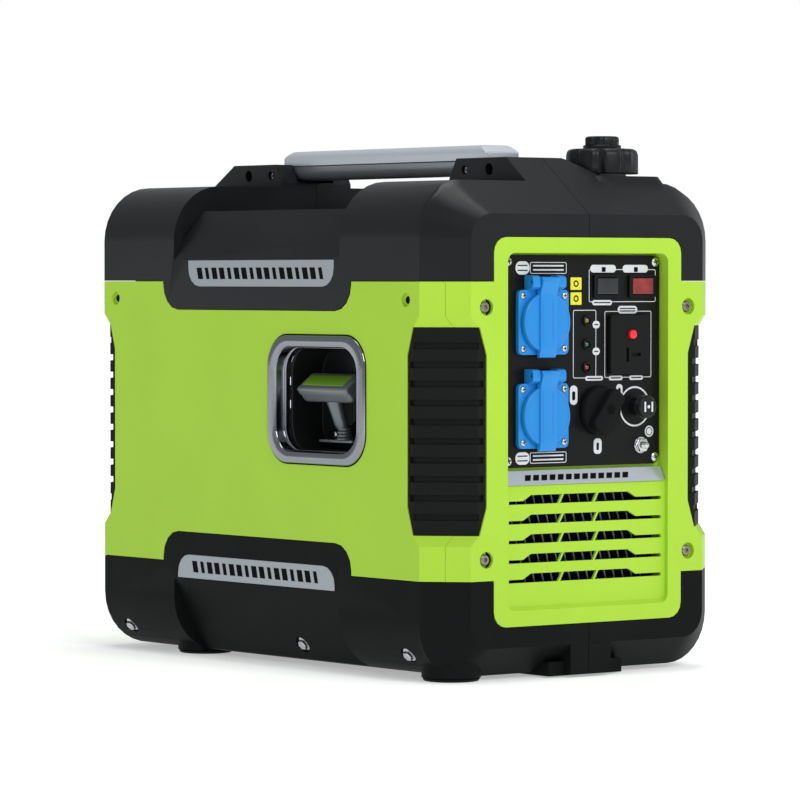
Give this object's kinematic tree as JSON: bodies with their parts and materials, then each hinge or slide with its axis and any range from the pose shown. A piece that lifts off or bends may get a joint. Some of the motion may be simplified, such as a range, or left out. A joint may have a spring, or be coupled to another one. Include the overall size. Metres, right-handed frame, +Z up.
{
  "type": "inverter generator",
  "caption": "Suitcase-shaped portable inverter generator with lime and black plastic casing, carrying handle, recoil starter, lidded sockets, control panel and filler cap.",
  "frame": {"origin": "on the floor under the middle of the casing", "axes": "+Z up, -Y out of the control panel, -X out of the recoil starter"},
  "size_m": [0.2922, 0.4913, 0.421],
  "materials": {
    "lime_plastic": "satin moulded",
    "black_plastic": "satin moulded, fine grain",
    "black_rubber": "matte",
    "silver_trim": "metallic paint",
    "chrome": "chrome plated",
    "aluminium": "satin anodised",
    "grey_metal": "satin",
    "handle_grey": "satin",
    "exhaust_metal": "sheet shell, light for its size",
    "blue_plastic": "gloss moulded",
    "panel_black": "semi-gloss",
    "red_plastic": "gloss",
    "amber_red": "translucent gloss",
    "yellow_lens": "translucent",
    "green_lens": "translucent",
    "red_lens": "translucent",
    "cast_metal": "as cast",
    "rope": "braided cord",
    "tank_plastic": "matte"
  },
  "bodies": {
    "casing": {"top_cover_left": "black_plastic", "top_cover_right": "black_plastic", "base_left": "black_plastic", "base_right": "black_plastic", "recoil_cup": "black_plastic", "air_filter_box": "black_plastic", "recoil_housing": "black_plastic", "side_cover_left": "lime_plastic", "side_cover_right": "lime_plastic", "front_cover": "lime_plastic", "rear_cover": "lime_plastic", "corner_grip_front_left": "black_rubber", "corner_grip_front_right": "black_rubber", "corner_grip_rear_left": "black_rubber", "corner_grip_rear_right": "black_rubber", "foot_front_left": "black_rubber", "foot_front_right": "black_rubber", "foot_rear_left": "black_rubber", "foot_rear_right": "black_rubber", "badge_upper_left": "silver_trim", "badge_lower_left": "silver_trim", "panel_trim": "silver_trim", "recoil_bezel": "chrome", "handle_bar": "aluminium", "ground_terminal": "aluminium", "handle_grip": "handle_grey", "rope_guide": "grey_metal", "stator": "grey_metal", "muffler": "exhaust_metal", "socket_upper": "blue_plastic", "socket_lower": "blue_plastic", "control_panel": "panel_black", "rocker_frame_dark": "panel_black", "rocker_frame_red": "panel_black", "dc_outlet": "panel_black", "louver_baffle": "panel_black", "led_yellow": "yellow_lens", "led_green": "green_lens", "led_red": "red_lens", "filler_neck": "cast_metal", "crankcase": "cast_metal", "cylinder": "cast_metal", "carburetor": "cast_metal", "inverter_module": "cast_metal", "fuel_tank": "tank_plastic"},
    "socket_lid_upper": {"socket_lid_upper": "blue_plastic"},
    "socket_lid_lower": {"socket_lid_lower": "blue_plastic"},
    "rocker_dark": {"rocker_dark": "panel_black"},
    "rocker_red": {"rocker_red": "amber_red"},
    "breaker_button": {"breaker_button": "red_plastic"},
    "engine_knob": {"engine_knob": "black_plastic"},
    "choke_knob": {"choke_knob": "black_plastic"},
    "cap_gasket": {"cap_gasket": "black_rubber"},
    "fuel_cap": {"fuel_cap": "black_plastic"},
    "vent_knob": {"vent_knob": "black_plastic"},
    "starter": {"starter_handle": "aluminium", "starter_rope": "rope"},
    "recoil_pulley": {"recoil_pulley": "black_plastic"},
    "crankshaft": {"crankshaft": "grey_metal", "flywheel_fan": "cast_metal"}
  },
  "joints": [
    {"name": "socket_lid_upper_hinge", "type": "hinge", "parent": "casing", "child": "socket_lid_upper", "pos_m": [-0.041, -0.24, 0.3057], "axis": [-1, 0, 0], "range_deg": [0, 110], "stiffness_Nm_per_rad": 0.02, "springref_deg": -22.92},
    {"name": "socket_lid_lower_hinge", "type": "hinge", "parent": "casing", "child": "socket_lid_lower", "pos_m": [-0.041, -0.24, 0.2337], "axis": [-1, 0, 0], "range_deg": [0, 110], "stiffness_Nm_per_rad": 0.02, "springref_deg": -22.92},
    {"name": "rocker_dark_tilt", "type": "hinge", "parent": "casing", "child": "rocker_dark", "pos_m": [0.025, -0.2305, 0.3024], "axis": [0, 0, 1], "range_deg": [0, 18]},
    {"name": "rocker_red_tilt", "type": "hinge", "parent": "casing", "child": "rocker_red", "pos_m": [0.061, -0.2305, 0.3024], "axis": [0, 0, 1], "range_deg": [0, 18]},
    {"name": "breaker_press", "type": "slide", "parent": "casing", "child": "breaker_button", "axis": [0, 1, 0], "range_m": [0, 0.0025], "stiffness_N_per_m": 200, "springref_m": -0.002},
    {"name": "engine_knob_turn", "type": "hinge", "parent": "casing", "child": "engine_knob", "pos_m": [0.0175, -0.2315, 0.2056], "axis": [0, 1, 0], "range_deg": [-120, 120]},
    {"name": "choke_pull", "type": "slide", "parent": "casing", "child": "choke_knob", "axis": [0, -1, 0], "range_m": [0, 0.015]},
    {"name": "fuel_cap_lift", "type": "slide", "parent": "casing", "child": "cap_gasket", "axis": [0, 0, 1], "range_m": [0, 0.06]},
    {"name": "fuel_cap_turn", "type": "hinge", "parent": "cap_gasket", "child": "fuel_cap", "pos_m": [0.068, -0.176, 0.4], "axis": [0, 0, 1], "range_deg": [0, 90]},
    {"name": "vent_knob_turn", "type": "hinge", "parent": "fuel_cap", "child": "vent_knob", "pos_m": [0.068, -0.176, 0.415], "axis": [0, 0, 1], "range_deg": [0, 90]},
    {"name": "starter_pull", "type": "slide", "parent": "casing", "child": "starter", "axis": [-1, 0, 0], "range_m": [0, 0.23], "stiffness_N_per_m": 60, "springref_m": -0.05},
    {"name": "recoil_pulley_turn", "type": "hinge", "parent": "casing", "child": "recoil_pulley", "pos_m": [-0.116, 0.06, 0.108], "axis": [1, 0, 0], "range_deg": [0, 320]},
    {"name": "crankshaft_spin", "type": "hinge", "parent": "casing", "child": "crankshaft", "pos_m": [-0.06, 0.06, 0.108], "axis": [1, 0, 0], "continuous": true}
  ],
  "couplings": [
    {"joint": "recoil_pulley_turn", "follows": "starter_pull", "rad_per_m": 22.727}
  ]
}
